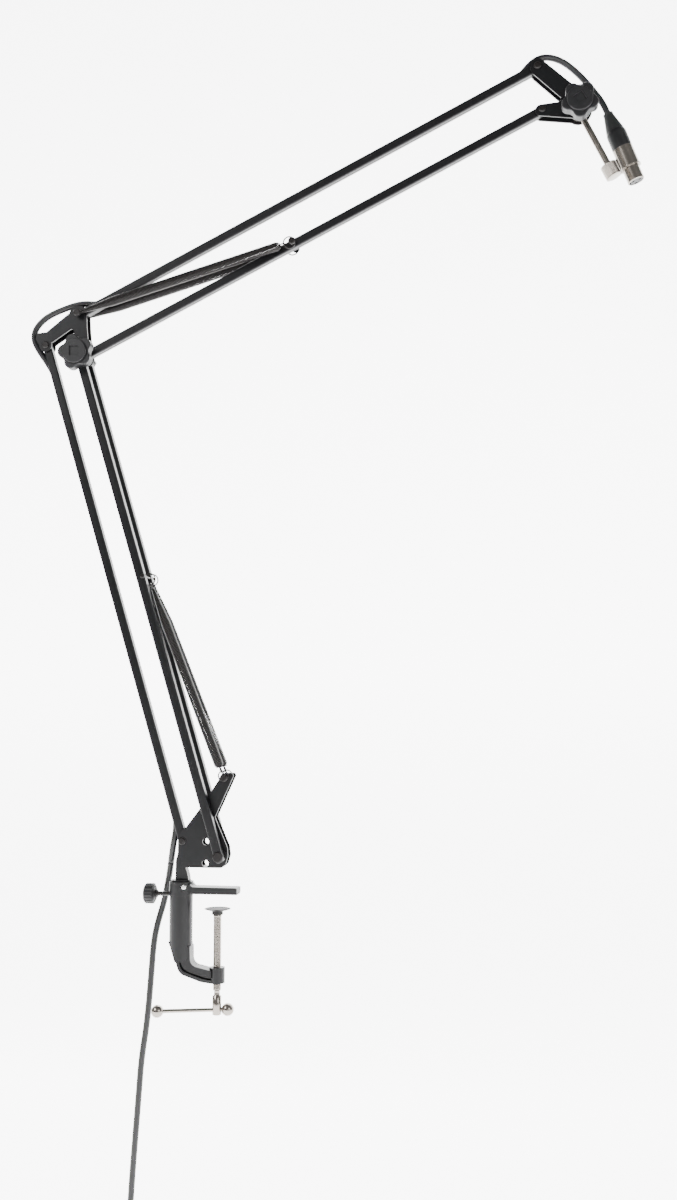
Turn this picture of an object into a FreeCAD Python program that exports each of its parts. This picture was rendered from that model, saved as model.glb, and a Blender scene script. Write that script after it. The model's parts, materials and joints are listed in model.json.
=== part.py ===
"""Desk-clamp boom arm for a microphone: two sprung parallelogram arms on a swivelling clamp, with a
balanced cable laid inside the arms.

Frame: the origin is on the underside of the upper jaw pad, straight above the clamp screw, where the
arm bears on a desk top. +Z is up and the arms move in the XZ plane. Millimetres and degrees.
"""

import FreeCAD
import Part
import Sketcher
import math
import os

V = FreeCAD.Vector
X_AXIS, Y_AXIS, Z_AXIS = V(1, 0, 0), V(0, 1, 0), V(0, 0, 1)

doc = FreeCAD.newDocument("boom_arm")

# ------------------------------------------------------------------ driving dimensions

SIZES = {
    # arms: lengths between pivots, attitude at rest and the spacing of each parallelogram's pivots
    "lower_length": 502.0,
    "lower_lean": 16.6,
    "upper_length": 500.0,
    "upper_rise": 26.1,
    "rear_foot_x": -33.3,
    "rear_foot_z": 48.5,
    "foot_step_x": 37.0,
    "foot_step_z": -13.2,
    "bar_step_x": 3.8,
    "bar_step_z": -42.8,
    "rod_pivot_x": 34.4,
    "rod_pivot_z": -2.0,
    # square tube
    "tube_side": 8.5,
    "tube_bore": 6.5,
    "tube_corner": 1.4,
    "tube_overhang": 6.0,
    "tube_crown": 3.0,
    "pair_centre_y": 11.5,
    "cable_slot_width": 6.4,
    # pressed brackets
    "plate_thickness": 1.6,
    "bracket_width": 12.3,
    "bracket_inside": 9.1,
    # pins, bolts and washers
    "pin_diameter": 4.0,
    "pin_hole": 4.12,
    "pin_head_diameter": 7.0,
    "pin_head_height": 1.4,
    "bolt_diameter": 6.0,
    "bolt_hole": 6.12,
    "washer_diameter": 12.0,
    "washer_thickness": 0.9,
    "friction_disc_thickness": 0.75,
    "spring_pin_diameter": 2.0,
    "spring_pin_hole": 2.06,
    # springs
    "spring_diameter": 9.2,
    "spring_bore": 6.8,
    "spring_tip_diameter": 3.5,
    "spring_taper": 35.0,
    "wire_diameter": 1.2,
    "ring_radius": 5.7,
    "small_ring_radius": 4.6,
    # cable and its connectors
    "cable_diameter": 6.0,
    "boot_length": 18.7,
    "boot_tip_diameter": 9.5,
    "boot_diameter": 17.0,
    "collar_length": 19.0,
    "shell_diameter": 19.0,
    "jack_shell_length": 20.6,
    "jack_nose_diameter": 16.0,
    "jack_nose_length": 14.3,
    "jack_lip_diameter": 20.4,
    "jack_lip_length": 1.0,
    "plug_shell_length": 25.0,
    "coil_radius": 33.0,
    "coil_bundle_radius": 9.4,
    # knobs
    "knob_root_radius": 13.6,
    "knob_lobe_radius": 17.5,
    "knob_lobe_curve": 6.5,
    "knob_face_diameter": 23.8,
    "knob_recess_side": 9.4,
    "knob_recess_depth": 1.2,
    # microphone rod
    "rod_diameter": 6.0,
    "rod_angle": 25.7,
    "rod_length": 60.0,
    "eye_diameter": 18.0,
    "eye_thickness": 7.3,
    "stud_diameter": 15.88,
    "stud_length": 13.6,
    "stud_bore": 10.2,
    # clamp
    "post_x": -35.0,
    "post_diameter": 21.6,
    "collar_diameter": 22.7,
    "post_top": 11.0,
    "collar_depth": 12.5,
    "post_floor": -28.0,
    "liner_diameter": 16.0,
    "spigot_diameter": 12.0,
    "liner_bore": 12.12,
    "spigot_bottom": -25.0,
    "jaw_reach": 20.0,
    "jaw_width": 16.0,
    "jaw_thickness": 5.0,
    "jaw_pad_thickness": 1.3,
    "boss_diameter": 14.4,
    "boss_top": -67.2,
    "boss_bottom": -81.4,
    "screw_diameter": 7.8,
    "screw_hole": 7.96,
    "dish_diameter": 24.5,
    "dish_top": -13.8,
    "hub_diameter": 8.2,
    "bar_height": -106.0,
    "bar_diameter": 3.6,
    "bar_hole": 3.72,
    "ball_diameter": 11.6,
    "bar_turn": 15.0,
    "lock_height": -1.0,
    "lock_knob_diameter": 19.0,
    "lock_stud_diameter": 4.2,
    "lock_stud_hole": 4.36,
}

sheet = doc.addObject("Spreadsheet::Sheet", "Sizes")
for row, (alias, number) in enumerate(SIZES.items(), start=1):
    sheet.set(f"A{row}", alias)
    sheet.set(f"B{row}", str(number))
    sheet.setAlias(f"B{row}", alias)
doc.recompute()


def mm(alias):
    """A driving dimension, read back from the sheet."""
    return float(sheet.get(alias))


def polar(length, degrees):
    """A vector in the arm plane: 0 degrees along +X, 90 degrees along +Z."""
    turn = math.radians(degrees)
    return V(length * math.cos(turn), 0, length * math.sin(turn))


# ------------------------------------------------------------------ pivots, worked out from the sheet

LOWER_ANGLE = 90.0 + mm("lower_lean")
UPPER_ANGLE = mm("upper_rise")
FOOT_STEP = V(mm("foot_step_x"), 0, mm("foot_step_z"))
BAR_STEP = V(mm("bar_step_x"), 0, mm("bar_step_z"))

REAR_FOOT = V(mm("rear_foot_x"), 0, mm("rear_foot_z"))
FRONT_FOOT = REAR_FOOT + FOOT_STEP
REAR_TOP = REAR_FOOT + polar(mm("lower_length"), LOWER_ANGLE)
ELBOW = REAR_TOP + FOOT_STEP
BAR_FOOT = ELBOW - BAR_STEP
HEAD_LOW = ELBOW + polar(mm("upper_length"), UPPER_ANGLE)
HEAD_TOP = HEAD_LOW - BAR_STEP
ROD_PIVOT = HEAD_LOW + V(mm("rod_pivot_x"), 0, mm("rod_pivot_z"))

nodes = []


def keep(label, thing):
    """Names a finished sub-part and puts it on the list of files to write."""
    thing.Label = label
    nodes.append(thing)
    return thing


def sideways(place, degrees=0.0):
    """Placement in the arm plane: local X turned up by the angle, local Z square to it."""
    return FreeCAD.Placement(place, FreeCAD.Rotation(Y_AXIS, -degrees))


def across(place):
    """Placement that points local +Z along -Y, the side a person works the knobs from."""
    return FreeCAD.Placement(place, FreeCAD.Rotation(X_AXIS, 90))


# ------------------------------------------------------------------ PartDesign helpers

def new_body(name):
    return doc.addObject("PartDesign::Body", name)


def new_sketch(body, role, offset=0.0):
    """An empty sketch on one of the body's own origin planes."""
    sketch = body.newObject("Sketcher::SketchObject", body.Name + "_sketch")
    plane = next(f for f in body.Origin.OriginFeatures if f.Role == role)
    sketch.AttachmentSupport = (plane, [""])
    sketch.MapMode = "FlatFace"
    sketch.AttachmentOffset = FreeCAD.Placement(V(0, 0, offset), FreeCAD.Rotation())
    return sketch


def draw(sketch, corners, closing=None):
    """Closes an outline. A corner is (u, v), or ((u, v) on the arc, (u, v) at its end)."""
    def flat(pair):
        return V(pair[0], pair[1], 0)

    pen = flat(corners[0])
    for corner in list(corners[1:]) + [corners[0] if closing is None else (closing[0], corners[0])]:
        if isinstance(corner[0], tuple):
            middle, end = flat(corner[0]), flat(corner[1])
            sketch.addGeometry(Part.Arc(pen, middle, end))
        else:
            end = flat(corner)
            if end.distanceToPoint(pen) > 1e-6:
                sketch.addGeometry(Part.LineSegment(pen, end))
        pen = end


def circle(sketch, u, v, diameter):
    """A circle whose diameter follows an expression."""
    value = doc.getObject("Sizes").evalExpression(diameter.replace("Sizes.", ""))
    index = sketch.addGeometry(Part.Circle(V(u, v, 0), Z_AXIS, float(value) / 2))
    constraint = sketch.addConstraint(Sketcher.Constraint("Diameter", index, float(value)))
    sketch.setExpression(f"Constraints[{constraint}]", diameter)


def extrude(body, kind, sketch, length=None, both=True):
    """A Pad or Pocket of the sketch, its length bound to an expression or right through."""
    feature = body.newObject("PartDesign::" + kind, f"{body.Name}_{kind.lower()}")
    feature.Profile = (sketch, [""])
    if both:
        feature.SideType = "Symmetric"
    if length is None:
        feature.Type = "ThroughAll"
    else:
        feature.setExpression("Length", length)
    sketch.Visibility = False
    return feature


def drill(body, points, diameter):
    """Round holes along Y at the given places in the XZ plane."""
    sketch = new_sketch(body, "XZ_Plane")
    for u, v in points:
        circle(sketch, u, v, diameter)
    return extrude(body, "Pocket", sketch)


def round_edges(body, base, edges, radius):
    fillet = body.newObject("PartDesign::Fillet", body.Name + "_fillet")
    fillet.Base = (base, edges)
    fillet.setExpression("Radius", radius)
    return fillet


# ------------------------------------------------------------------ Part helpers

def stack(name, sections):
    """A turned piece along local Z: (diameter, end diameter or None, height) expressions in a row."""
    pieces = []
    height_so_far = "0"
    for number, (low, high, height) in enumerate(sections):
        kind = "Part::Cylinder" if high is None else "Part::Cone"
        piece = doc.addObject(kind, f"{name}_{number}")
        piece.setExpression("Height", height)
        if high is None:
            piece.setExpression("Radius", f"({low}) / 2")
        else:
            piece.setExpression("Radius1", f"({low}) / 2")
            piece.setExpression("Radius2", f"({high}) / 2")
        if len(sections) > 1:
            piece.setExpression(".Placement.Base.z", height_so_far)
        height_so_far = f"{height_so_far} + {height}"
        pieces.append(piece)
    if len(pieces) == 1:
        return pieces[0]
    return join(name, pieces)


def join(name, pieces):
    whole = doc.addObject("Part::MultiFuse", name)
    whole.Shapes = pieces
    whole.Refine = True
    return whole


def cut(name, base, tool):
    result = doc.addObject("Part::Cut", name)
    result.Base = base
    result.Tool = tool
    return result


def group(label, pieces):
    """Identical fasteners that share one node."""
    whole = doc.addObject("Part::Compound", label)
    whole.Links = pieces
    return keep(label, whole)


def cylinder(name, diameter, height, placement):
    piece = doc.addObject("Part::Cylinder", name)
    piece.setExpression("Radius", f"({diameter}) / 2")
    piece.setExpression("Height", height)
    piece.Placement = placement
    return piece


def torus(name, ring_radius, wire_diameter, placement):
    piece = doc.addObject("Part::Torus", name)
    piece.setExpression("Radius1", ring_radius)
    piece.setExpression("Radius2", f"({wire_diameter}) / 2")
    piece.Placement = placement
    return piece


def rivet(name, place, half_grip, diameter="Sizes.pin_diameter", head="Sizes.pin_head_diameter"):
    """A pin along Y with a low domed head at each end; half_grip reaches the underside of a head."""
    dome = f"{head} - 1.6"
    rim = "Sizes.pin_head_height / 2"
    piece = stack(name, [
        (dome, head, rim),
        (head, None, rim),
        (diameter, None, f"2 * ({half_grip})"),
        (head, None, rim),
        (head, dome, rim),
    ])
    piece.Placement = across(place + V(0, half_span(half_grip), 0))
    return piece


def half_span(half_grip):
    """Distance from the middle of a rivet to its end."""
    return float(sheet.evalExpression(half_grip.replace("Sizes.", ""))) + mm("pin_head_height")


# ------------------------------------------------------------------ cable runs

def smooth_route(name, points):
    """Straight runs joined by tangent arcs, each as large as its two runs allow; prints the radii."""
    points = [V(*p) for p in points]
    edges, radii = [], []
    pen = points[0]
    for before, corner, after in zip(points, points[1:], points[2:]):
        shorter = min(corner.distanceToPoint(before), corner.distanceToPoint(after))
        back = (before - corner).normalize()
        ahead = (after - corner).normalize()
        half_turn = (math.pi - back.getAngle(ahead)) / 2
        reach = 0.45 * shorter
        radius = reach / math.tan(half_turn)
        inward = (back + ahead).normalize()
        middle = corner + inward * (radius / math.cos(half_turn) - radius)
        start, end = corner + back * reach, corner + ahead * reach
        edges.append(Part.LineSegment(pen, start).toShape())
        edges.append(Part.Arc(start, middle, end).toShape())
        radii.append(round(radius, 1))
        pen = end
    edges.append(Part.LineSegment(pen, points[-1]).toShape())
    print(name, "radii", radii)
    return Part.Wire(edges)


def cable(label, points):
    """A cable's solid along its route, with its volume compared with section times length."""
    path = smooth_route(label, points)
    radius = mm("cable_diameter") / 2
    start = path.Edges[0].firstVertex().Point
    heading = path.Edges[0].tangentAt(path.Edges[0].FirstParameter)
    section = Part.Wire([Part.Circle(start, heading, radius).toShape()])
    solid = path.makePipeShell([section], True, False)
    ratio = solid.Volume / (math.pi * radius ** 2 * path.Length)
    print(label, "length", round(path.Length, 1), "volume ratio", round(ratio, 4))
    piece = doc.addObject("Part::Feature", label)
    piece.Shape = solid
    return keep(label, piece)


def on_link(foot, angle, along, side):
    """A point of a link: along it from its foot, and square to it on its left."""
    return foot + polar(along, angle) + polar(side, angle + 90)


def xyz(point, y=0.0):
    return (point.x, y, point.z)


# ------------------------------------------------------------------ square tubes

def square_tube(label, foot, angle, length, y, pivot_hole, slots=(), cross_pins=()):
    """A square tube with crowned ends, pivot holes at both ends and slots where a cable leaves it.

    Local X runs from the foot pivot to the far pivot and local Z is the link's left side.
    """
    reach, half = mm(length), mm("tube_side") / 2
    overhang, crown = mm("tube_overhang"), mm("tube_crown")
    body = new_body(label)
    side = new_sketch(body, "XZ_Plane")
    draw(side, [
        (crown - overhang, -half),
        (reach + overhang - crown, -half),
        ((reach + overhang, 0), (reach + overhang - crown, half)),
        (crown - overhang, half),
        ((-overhang, 0), (crown - overhang, -half)),
    ])
    outer = extrude(body, "Pad", side, "Sizes.tube_side")
    doc.recompute()
    rims = [f"Edge{i}" for i, edge in enumerate(outer.Shape.Edges, start=1)
            if all(abs(abs(v.Point.y) - half) < 1e-6 for v in edge.Vertexes)
            and abs(edge.Vertexes[0].Point.y - edge.Vertexes[-1].Point.y) < 1e-6]
    round_edges(body, outer, rims, "Sizes.tube_corner")

    bore = new_sketch(body, "YZ_Plane")
    inside = mm("tube_bore") / 2
    draw(bore, [(-inside, -inside), (inside, -inside), (inside, inside), (-inside, inside)])
    extrude(body, "Pocket", bore)
    for start, end in slots:
        slot = new_sketch(body, "XZ_Plane")
        draw(slot, [(start, 0.5), (end, 0.5), (end, half + 1), (start, half + 1)])
        extrude(body, "Pocket", slot, "Sizes.cable_slot_width")
    for far, diameter in zip((0.0, reach), pivot_hole):
        drill(body, [(far, 0)], diameter)
    for along, offset, diameter in cross_pins:
        drill(body, [(along, offset)], diameter)
    body.Placement = sideways(foot + V(0, y, 0), angle)
    return keep(label, body)


# ------------------------------------------------------------------ clamp

def build_clamp():
    """C-shaped casting: a hollow post, the upper jaw, and an arm down to the screw's boss."""
    body = new_body("clamp_frame")
    post_x, post_r = mm("post_x"), mm("post_diameter") / 2

    post = new_sketch(body, "XY_Plane", mm("post_top"))
    circle(post, post_x, 0, "Sizes.post_diameter")
    shaft = extrude(body, "Pad", post, "Sizes.post_top + 62", both=False)
    shaft.Reversed = True
    foot = new_sketch(body, "XZ_Plane")
    draw(foot, [
        (-60, -44.4), (post_x - post_r + 0.4, -44.4), (-40.1, -56.4), (-38.0, -62.6), (-33.0, -63.0),
        (-24.0, -57.0), (-10, -57.0), (-10, -90), (-60, -90),
    ])
    extrude(body, "Pocket", foot)
    collar = new_sketch(body, "XY_Plane", mm("post_top"))
    circle(collar, post_x, 0, "Sizes.collar_diameter")
    rim = extrude(body, "Pad", collar, "Sizes.collar_depth", both=False)
    rim.Reversed = True

    jaw = new_sketch(body, "XZ_Plane")
    under, top = mm("jaw_pad_thickness"), mm("jaw_pad_thickness") + mm("jaw_thickness")
    draw(jaw, [
        (post_x, under),
        (mm("jaw_reach"), under),
        (mm("jaw_reach"), top - 1.2),
        ((mm("jaw_reach") - 0.35, top - 0.35), (mm("jaw_reach") - 1.2, top)),
        (post_x + post_r + 2.5, top + 0.2),
        ((post_x + post_r + 0.7, top + 0.9), (post_x + post_r - 0.2, top + 2.6)),
        (post_x, top + 2.6),
    ])
    extrude(body, "Pad", jaw, "Sizes.jaw_width")

    web = new_sketch(body, "XZ_Plane")
    draw(web, [
        (post_x - post_r + 0.4, -44.4), (-40.1, -56.4), (-36.6, -67.4),
        ((-34.2, -71.9), (-29.8, -74.8)), (-14.3, -80.0), (-6.0, -81.2),
        (0, -81.2), (0, -69.6), (-6.0, -69.2), (-17.2, -66.6),
        ((-22.2, -64.2), (-24.2, -59.0)), (-24.4, -44.4),
    ])
    extrude(body, "Pad", web, "7.0")

    inner_rib = new_sketch(body, "XZ_Plane")
    draw(inner_rib, [
        (-34.5, -48.0), (-33.4, -58.0), ((-31.2, -66.2), (-24.6, -71.2)), (-10.0, -75.6), (-4.0, -76.4),
        (-4.0, -69.4), (-6.0, -69.2), (-17.2, -66.6), ((-22.2, -64.2), (-24.2, -59.0)), (-24.4, -48.0),
    ])
    extrude(body, "Pad", inner_rib, "15.0")

    outer_rib = new_sketch(body, "XZ_Plane")
    draw(outer_rib, [
        (post_x - post_r + 0.4, -44.4), (-40.1, -56.4), (-36.6, -67.4),
        ((-34.2, -71.9), (-29.8, -74.8)), (-14.3, -80.0), (-6.0, -81.2), (-4.0, -81.2),
        (-4.0, -78.2), (-6.3, -78.2), (-13.5, -77.0), (-28.6, -71.8),
        ((-31.9, -69.6), (-33.8, -66.0)), (-37.2, -55.4), (-41.4, -43.4),
    ])
    extrude(body, "Pad", outer_rib, "13.0")

    boss = new_sketch(body, "XY_Plane", mm("boss_top"))
    circle(boss, 0, 0, "Sizes.boss_diameter")
    eye = extrude(body, "Pad", boss, "Sizes.boss_top - Sizes.boss_bottom", both=False)
    eye.Reversed = True

    thread = new_sketch(body, "XY_Plane", mm("boss_top") + 1)
    circle(thread, 0, 0, "Sizes.screw_hole")
    extrude(body, "Pocket", thread, "Sizes.boss_top - Sizes.boss_bottom + 2", both=False)
    socket = new_sketch(body, "XY_Plane", mm("post_top") + 1)
    circle(socket, post_x, 0, "Sizes.liner_diameter + 0.04")
    extrude(body, "Pocket", socket, "Sizes.post_top - Sizes.post_floor + 1", both=False)
    side_hole = new_sketch(body, "YZ_Plane", post_x)
    circle(side_hole, 0, mm("lock_height"), "Sizes.lock_stud_hole")
    extrude(body, "Pocket", side_hole, "Sizes.collar_diameter", both=False)
    front_hole = new_sketch(body, "XZ_Plane", 4.0)
    circle(front_hole, FRONT_SCREW.x, FRONT_SCREW.z, "3.06")
    front = extrude(body, "Pocket", front_hole, "20", both=False)
    front.Reversed = True
    keep("clamp_frame", body)

    pad = doc.addObject("Part::Box", "jaw_pad")
    pad.setExpression("Length", "Sizes.jaw_reach + 23.0")
    pad.setExpression("Width", "Sizes.jaw_width - 0.6")
    pad.setExpression("Height", "Sizes.jaw_pad_thickness - 0.02")
    pad.Placement = FreeCAD.Placement(V(-23.3, -mm("jaw_width") / 2 + 0.3, 0), FreeCAD.Rotation())
    keep("jaw_pad", pad)

    liner = cylinder("liner_outer", "Sizes.liner_diameter", "Sizes.post_top - Sizes.post_floor - 0.3",
                     FreeCAD.Placement(V(post_x, 0, mm("post_floor") + 0.1), FreeCAD.Rotation()))
    bore = cylinder("liner_inner", "Sizes.liner_bore", "60",
                    FreeCAD.Placement(V(post_x, 0, mm("post_floor") - 1), FreeCAD.Rotation()))
    window = cylinder("liner_window", "Sizes.lock_stud_hole", "20",
                      FreeCAD.Placement(V(post_x - 20, 0, mm("lock_height")), FreeCAD.Rotation(Y_AXIS, 90)))
    keep("post_liner", cut("post_liner", liner, join("liner_cuts", [bore, window])))

    screw = stack("post_set_screw", [("2.98", None, "3.1"), ("4.4", None, "0.8"),
                                     ("4.4", "3.2", "0.5")])
    screw.Placement = across(FRONT_SCREW)
    keep("post_set_screw", screw)


FRONT_SCREW = V(-29.6, -8.05, 7.0)


def build_lock():
    """Side thumbscrew that clamps the yoke's spigot in the post."""
    stud = stack("lock_stud", [("Sizes.lock_stud_diameter - 1", "Sizes.lock_stud_diameter", "0.8"),
                               ("Sizes.lock_stud_diameter", None, "22.1")])
    tip = mm("post_x") - mm("spigot_diameter") / 2 - 0.05
    stud.Placement = FreeCAD.Placement(V(tip, 0, mm("lock_height")), FreeCAD.Rotation(Y_AXIS, -90))
    keep("lock_stud", stud)

    body = new_body("lock_knob")
    grip = new_sketch(body, "YZ_Plane")
    radius = mm("lock_knob_diameter") / 2
    ribs, depth = 18, 0.55
    corners = []
    for rib in range(ribs):
        for part, size in ((0.0, radius), (0.42, radius), (0.58, radius - depth), (0.84, radius - depth)):
            turn = 2 * math.pi * (rib + part) / ribs
            corners.append((size * math.cos(turn), size * math.sin(turn)))
    draw(grip, corners)
    extrude(body, "Pad", grip, "10.2", both=False)
    nose = new_sketch(body, "YZ_Plane")
    circle(nose, 0, 0, "6.8")
    extrude(body, "Pad", nose, "12.2", both=False)
    doc.recompute()
    crest = new_sketch(body, "XZ_Plane")
    draw(crest, [(-1, radius - 1.5), (0, radius - 1.5), (1.6, radius + 0.1), (1.6, radius + 2), (-1, radius + 2)])
    bevel = body.newObject("PartDesign::Groove", "lock_knob_bevel")
    bevel.Profile = (crest, [""])
    bevel.ReferenceAxis = (crest, ["H_Axis"])
    bevel.Angle = 360
    skirt = new_sketch(body, "XZ_Plane")
    draw(skirt, [
        (8.4, radius + 0.1), (10.2, radius - 3.0), (11, radius - 3.0), (11, radius + 2), (8.4, radius + 2),
    ])
    slope = body.newObject("PartDesign::Groove", "lock_knob_slope")
    slope.Profile = (skirt, [""])
    slope.ReferenceAxis = (skirt, ["H_Axis"])
    slope.Angle = 360
    hole = new_sketch(body, "YZ_Plane", 5.7)
    circle(hole, 0, 0, "Sizes.lock_stud_diameter + 0.04")
    into = extrude(body, "Pocket", hole, "12", both=False)
    into.Reversed = True
    body.Placement = FreeCAD.Placement(V(-70.1, 0, mm("lock_height")), FreeCAD.Rotation())
    keep("lock_knob", body)


def build_screw():
    """Pressure dish, clamp screw and its sliding tommy bar."""
    dish = new_body("pad_dish")
    profile = new_sketch(dish, "XZ_Plane")
    rim = mm("dish_diameter") / 2
    top = mm("dish_top")
    draw(profile, [
        (0, top - 2.6), (6.0, top - 2.2), (rim - 0.2, top - 0.2), (rim, top), (rim - 0.9, top + 0.1),
        (6.2, top - 1.2), (0, top - 1.5),
    ])
    spin = dish.newObject("PartDesign::Revolution", "pad_dish_turn")
    spin.Profile = (profile, [""])
    spin.ReferenceAxis = (profile, ["V_Axis"])
    spin.Angle = 360
    neck = new_sketch(dish, "XY_Plane", mm("dish_top") - 2.0)
    circle(neck, 0, 0, "10.4")
    hub = extrude(dish, "Pad", neck, "3.2", both=False)
    hub.Reversed = True
    socket = new_sketch(dish, "XY_Plane", mm("dish_top") - 5.3)
    circle(socket, 0, 0, "6.1")
    blind = extrude(dish, "Pocket", socket, "2.7", both=False)
    blind.Reversed = True
    keep("pad_dish", dish)

    facing = stack("pad_facing", [("11.6", "23.4", "1.35")])
    facing.Placement = FreeCAD.Placement(V(0, 0, mm("dish_top") - 1.12), FreeCAD.Rotation())
    keep("pad_facing", facing)

    rod = stack("screw_rod", [
        ("Sizes.hub_diameter - 1", "Sizes.hub_diameter", "0.5"),
        ("Sizes.hub_diameter", None, "16.7"),
        ("Sizes.hub_diameter", "5.4", "0.9"),
        ("5.4", None, "3.6"),
        ("5.4", "Sizes.screw_diameter", "1.4"),
        ("Sizes.screw_diameter", None, "67.4"),
        ("Sizes.screw_diameter", "6.0", "0.9"),
        ("6.0", None, "2.3"),
    ])
    rod.Placement = FreeCAD.Placement(V(0, 0, -110.6), FreeCAD.Rotation())
    turn = mm("bar_turn")
    along = V(math.cos(math.radians(turn)), math.sin(math.radians(turn)), 0)
    lying = FreeCAD.Rotation(Z_AXIS, along)
    cross = cylinder("screw_cross_hole", "Sizes.bar_hole", "20",
                     FreeCAD.Placement(V(0, 0, mm("bar_height")) - along * 10, lying))
    keep("clamp_screw", cut("clamp_screw", rod, cross))

    left, right = 54.7, 9.95
    bar = cylinder("t_bar", "Sizes.bar_diameter", f"{left + right}",
                   FreeCAD.Placement(V(0, 0, mm("bar_height")) - along * left, lying))
    keep("t_bar", bar)
    balls = []
    for number, far in enumerate((-left, right)):
        ball = doc.addObject("Part::Sphere", f"ball_{number}")
        ball.setExpression("Radius", "Sizes.ball_diameter / 2")
        ball.Placement = FreeCAD.Placement(V(0, 0, mm("bar_height")) + along * far, FreeCAD.Rotation())
        hole = cylinder(f"ball_hole_{number}", "Sizes.bar_diameter + 0.02", f"{left + right}",
                        FreeCAD.Placement(V(0, 0, mm("bar_height")) - along * left, lying))
        balls.append(cut(f"bored_ball_{number}", ball, hole))
    group("t_bar_balls", balls)


# ------------------------------------------------------------------ brackets

def bracket(label, place, outline, hollow, pin_holes, bolt_holes=(), windows=()):
    """A folded plate bracket: two cheeks and the web that the hollow leaves between them."""
    body = new_body(label)
    cheeks = new_sketch(body, "XZ_Plane")
    draw(cheeks, outline)
    extrude(body, "Pad", cheeks, "Sizes.bracket_width")
    gap = new_sketch(body, "XZ_Plane")
    draw(gap, hollow)
    extrude(body, "Pocket", gap, "Sizes.bracket_inside")
    drill(body, pin_holes, "Sizes.pin_hole")
    if bolt_holes:
        drill(body, bolt_holes, "Sizes.bolt_hole")
    if windows:
        drill(body, windows, "6.5")
    body.Placement = sideways(place)
    return keep(label, body)


SPRING_TAB = V(3.4, 0, 72.4)
SPRING_REACH = 10.0


def build_yoke():
    """Base yoke on its spigot; it carries both lower links and the springs' lower pin."""
    step_x, step_z = -mm("foot_step_x"), -mm("foot_step_z")
    outline = [
        (-40.8, -11.0), (1.0, -11.0), (5.2, -7.4), (7.2, 0.0), (6.6, 8.0), (-5.4, 35.8),
        (11.6, 73.1), ((11.5, 75.6), (8.9, 76.7)), (1.2, 76.7), (-0.9, 72.2), (-20.3, 43.1), (-33.2, 26.2),
        ((-39.2, 21.0), (-40.8, 13.6)),
    ]
    web = mm("plate_thickness")
    hollow = [(-60, -30), (-31.5, -30), (-31.5, -11.0 + web), (20, -11.0 + web), (20, 90), (-60, 90)]
    bracket("yoke_bracket", FRONT_FOOT, outline, hollow,
            [(step_x, step_z), (SPRING_TAB.x, SPRING_TAB.z)], [(0, 0)], [(-14.1, 13.1), (-14.4, -7.0)])

    body = new_body("yoke_spigot")
    neck = new_sketch(body, "XZ_Plane")
    draw(neck, [
        (-39.6, 12.4), (-27.2, 12.4), (-27.4, 15.0), ((-28.4, 19.0), (-29.9, 23.4)), (-29.9, 39.6),
        (-36.9, 39.6), (-39.4, 30.0),
    ])
    extrude(body, "Pad", neck, "Sizes.bracket_inside - 0.04")
    flange = new_sketch(body, "XY_Plane", mm("post_top") + 0.1)
    circle(flange, mm("post_x"), 0, "18")
    extrude(body, "Pad", flange, "1.4", both=False)
    spigot = new_sketch(body, "XY_Plane", mm("post_top") + 0.4)
    circle(spigot, mm("post_x"), 0, "Sizes.spigot_diameter")
    shaft = extrude(body, "Pad", spigot, "Sizes.post_top - Sizes.spigot_bottom + 0.4", both=False)
    shaft.Reversed = True
    keep("yoke_spigot", body)

    foot = rivet("foot_rivet", REAR_FOOT, "Sizes.bracket_width / 2 + 0.02")
    tab = rivet("tab_rivet", FRONT_FOOT + SPRING_TAB, f"{SPRING_REACH}")
    group("yoke_rivets", [foot, tab])
    bolt = rivet("yoke_bolt", FRONT_FOOT, "Sizes.pair_centre_y + Sizes.tube_side / 2 + 0.1",
                 "Sizes.bolt_diameter", "Sizes.pin_head_diameter + 3")
    keep("yoke_bolt", bolt)
    washers("yoke_washers", FRONT_FOOT)


def washers(label, place):
    """The two nylon washers between a bracket and the pair of tubes outside it."""
    rings = []
    inner = mm("bracket_width") / 2 + 0.05
    for side in (-1, 1):
        start = inner if side > 0 else -inner - mm("washer_thickness")
        where = FreeCAD.Placement(place + V(0, start, 0), FreeCAD.Rotation(X_AXIS, -90))
        disc = cylinder(f"{label}_disc{side + 1}", "Sizes.washer_diameter", "Sizes.washer_thickness", where)
        hole = cylinder(f"{label}_hole{side + 1}", "Sizes.bolt_hole + 0.1", "Sizes.washer_thickness", where)
        rings.append(cut(f"{label}_ring{side + 1}", disc, hole))
    return group(label, rings)


def build_elbow():
    """Elbow bracket, which holds the upper arm at the same attitude while the lower arm tilts."""
    outline = [
        (-47.2, 18.4), (-43.9, 12.6), ((-38.6, 6.6), (-31.0, 11.6)), (-31.0, 15.0), (-22.5, 20.4), (-12.6, 27.0),
        ((-9.8, 27.3), (-8.2, 24.4)), (-8.9, 2.0), ((0.0, -9.1), (8.9, 2.0)),
        (6.3, 16.1), (5.1, 28.2), (4.4, 40.3), (3.9, 46.2), ((1.6, 49.6), (-3.5, 50.7)), (-9.0, 49.6),
        ((-11.2, 48.2), (-13.2, 44.1)), (-24.8, 35.1), (-36.5, 25.9), (-45.3, 25.3),
        ((-47.0, 22.4), (-47.2, 18.4)),
    ]
    hollow = [(-70, -20), (30, -20), (30, 70), (-12.0, 70), (-12.0, 43.0), (-35.5, 24.7), (-38.0, 30), (-70, 30)]
    bracket("elbow_bracket", ELBOW, outline, hollow,
            [(-mm("foot_step_x"), -mm("foot_step_z")), (-mm("bar_step_x"), -mm("bar_step_z"))], [(0, 0)])
    rear = rivet("rear_rivet", REAR_TOP, "Sizes.bracket_width / 2 + 0.02")
    top = rivet("bar_rivet", BAR_FOOT, f"{SPRING_REACH + 1.4}")
    group("elbow_rivets", [rear, top])
    washers("elbow_washers", ELBOW)


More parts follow.
